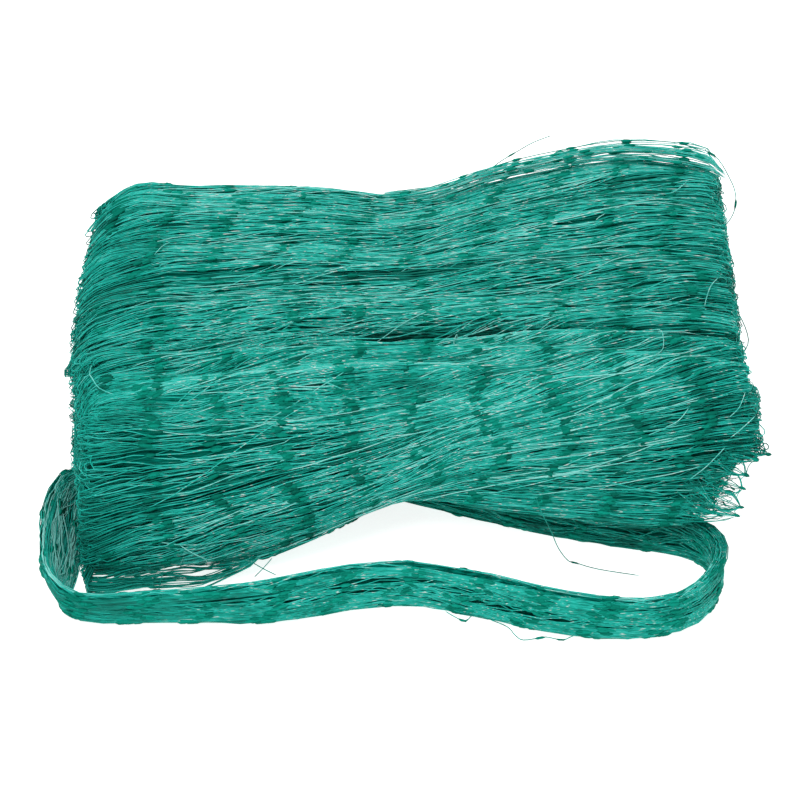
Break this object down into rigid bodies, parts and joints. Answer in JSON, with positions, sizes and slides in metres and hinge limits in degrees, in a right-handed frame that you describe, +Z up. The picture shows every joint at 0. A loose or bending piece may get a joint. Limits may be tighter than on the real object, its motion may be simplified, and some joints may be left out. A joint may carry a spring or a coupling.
{
  "type": "folded bird netting",
  "caption": "Bird and garden netting of green knotted monofilament, gathered and folded back and forth into a waisted bundle, with one loose loop in front.",
  "frame": {"origin": "on the resting plane under the middle of the bundle, on the flat underside of its bottom layer", "axes": "+X along the folds, -Y to the front where the loose loop lies, +Z up"},
  "size_m": [0.2188, 0.1748, 0.0659],
  "materials": {
    "green_net": "green translucent monofilament, soft sheen"
  },
  "bodies": {
    "root": {"netting": "green_net"}
  },
  "joints": []
}
